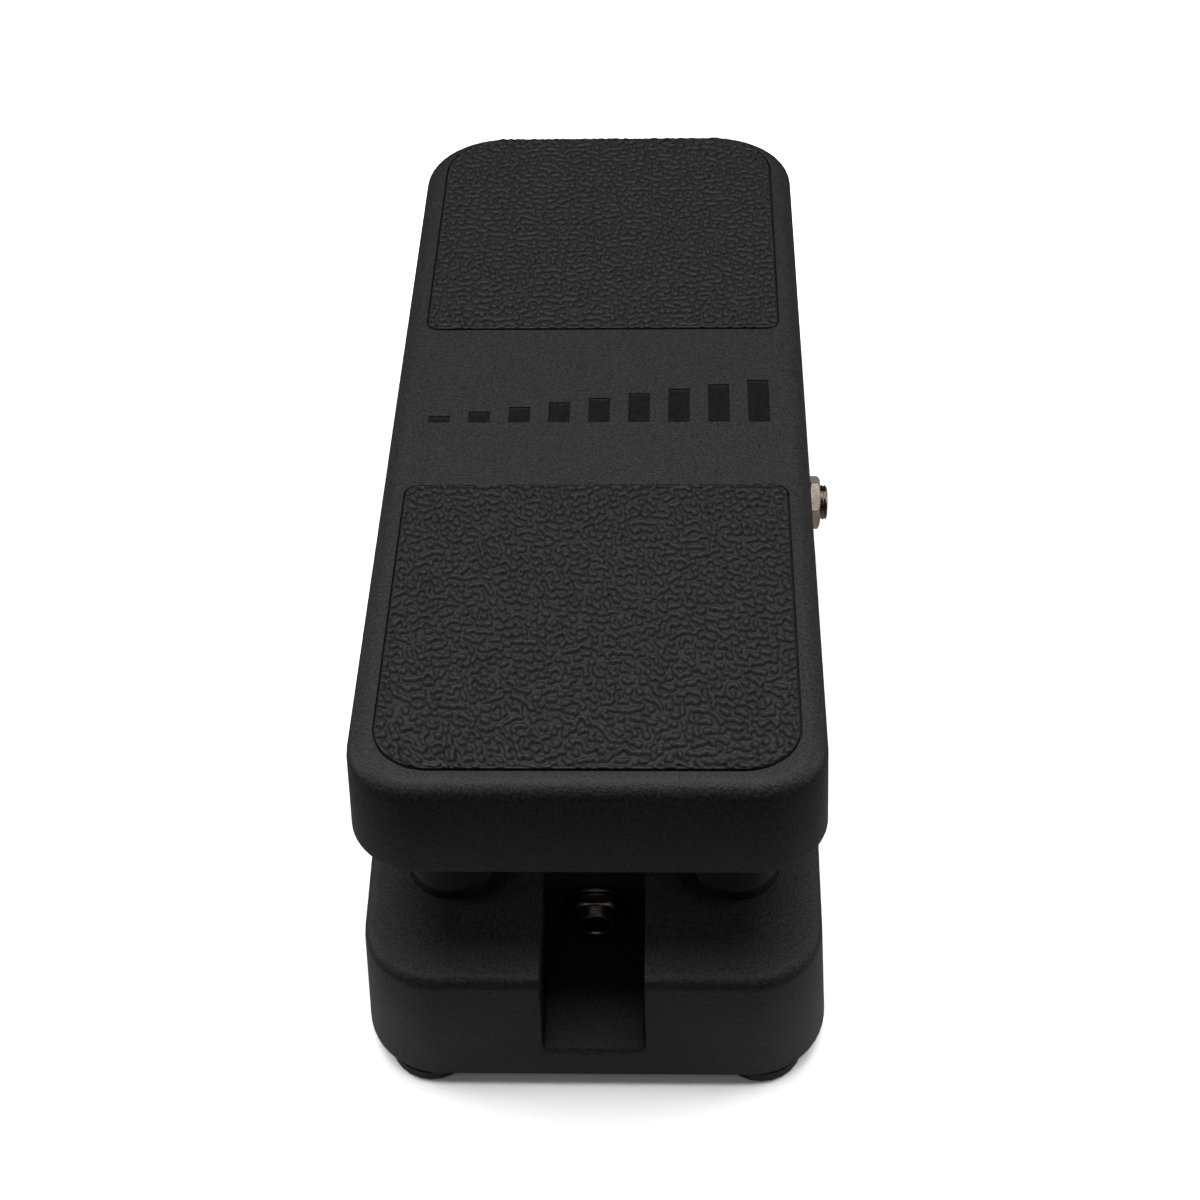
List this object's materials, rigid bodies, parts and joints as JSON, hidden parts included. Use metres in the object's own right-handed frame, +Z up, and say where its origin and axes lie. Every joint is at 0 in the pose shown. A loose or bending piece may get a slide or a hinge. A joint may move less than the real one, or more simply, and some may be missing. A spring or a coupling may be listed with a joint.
{
  "type": "expression pedal",
  "caption": "Rocker foot pedal: treadle with pebbled rubber pads on a die-cast base, gear-driven potentiometer inside, jack sockets in a heel slot and the right side.",
  "frame": {"origin": "centre of the bottom plate's underside; the rubber feet reach 4.5 mm below it", "axes": "+X to the player's right, +Y from heel to toe, +Z up"},
  "size_m": [0.1118, 0.2624, 0.0989],
  "materials": {
    "black_powder_coat": "matte, fine texture",
    "pad_rubber": "matte, pebbled",
    "foot_rubber": "matte",
    "nickel": "satin",
    "zinc_steel": "satin",
    "black_plastic": "satin",
    "cable_jacket": "satin",
    "white_nylon": "matte",
    "bronze": "satin"
  },
  "bodies": {
    "base": {"base_casting": "black_powder_coat", "bottom_plate": "zinc_steel", "pivot_shaft": "zinc_steel", "retaining_ring_left": "zinc_steel", "retaining_ring_right": "zinc_steel", "gear_guide": "white_nylon", "guide_screw": "zinc_steel", "pot_housing": "zinc_steel", "pot_washer": "zinc_steel", "pot_nut": "zinc_steel", "pot_bracket": "zinc_steel", "bracket_screw_heel": "zinc_steel", "bracket_screw_toe": "zinc_steel", "heel_jack_cable": "cable_jacket", "side_jack_cable": "cable_jacket", "foot_heel_left": "foot_rubber", "foot_screw_heel_left": "zinc_steel", "bumper_heel_left": "foot_rubber", "foot_heel_right": "foot_rubber", "foot_screw_heel_right": "zinc_steel", "bumper_heel_right": "foot_rubber", "foot_toe_left": "foot_rubber", "foot_screw_toe_left": "zinc_steel", "bumper_toe_left": "foot_rubber", "foot_toe_right": "foot_rubber", "foot_screw_toe_right": "zinc_steel", "bumper_toe_right": "foot_rubber", "heel_jack_bushing": "nickel", "heel_jack_washer": "nickel", "heel_jack_nut": "nickel", "heel_jack_housing": "black_plastic", "side_jack_bushing": "nickel", "side_jack_washer": "nickel", "side_jack_nut": "nickel", "side_jack_housing": "black_plastic"},
    "treadle": {"treadle_casting": "black_powder_coat", "heel_pad": "pad_rubber", "toe_pad": "pad_rubber", "bushing_left": "bronze", "bushing_right": "bronze", "sector_gear": "white_nylon", "sector_screw_heel": "zinc_steel", "sector_screw_toe": "zinc_steel"},
    "pot_rotor": {"pot_shaft": "zinc_steel", "pinion_gear": "white_nylon"}
  },
  "joints": [
    {"name": "treadle_pivot", "type": "hinge", "parent": "base", "child": "treadle", "pos_m": [0, 0, 0.058], "axis": [1, 0, 0], "range_deg": [0, 13.4]},
    {"name": "pot_spin", "type": "hinge", "parent": "base", "child": "pot_rotor", "pos_m": [-0.011, 0.05209, 0.0173], "axis": [1, 0, 0], "range_deg": [-134, 0]}
  ],
  "couplings": [
    {"joint": "pot_spin", "follows": "treadle_pivot", "ratio": -10}
  ]
}
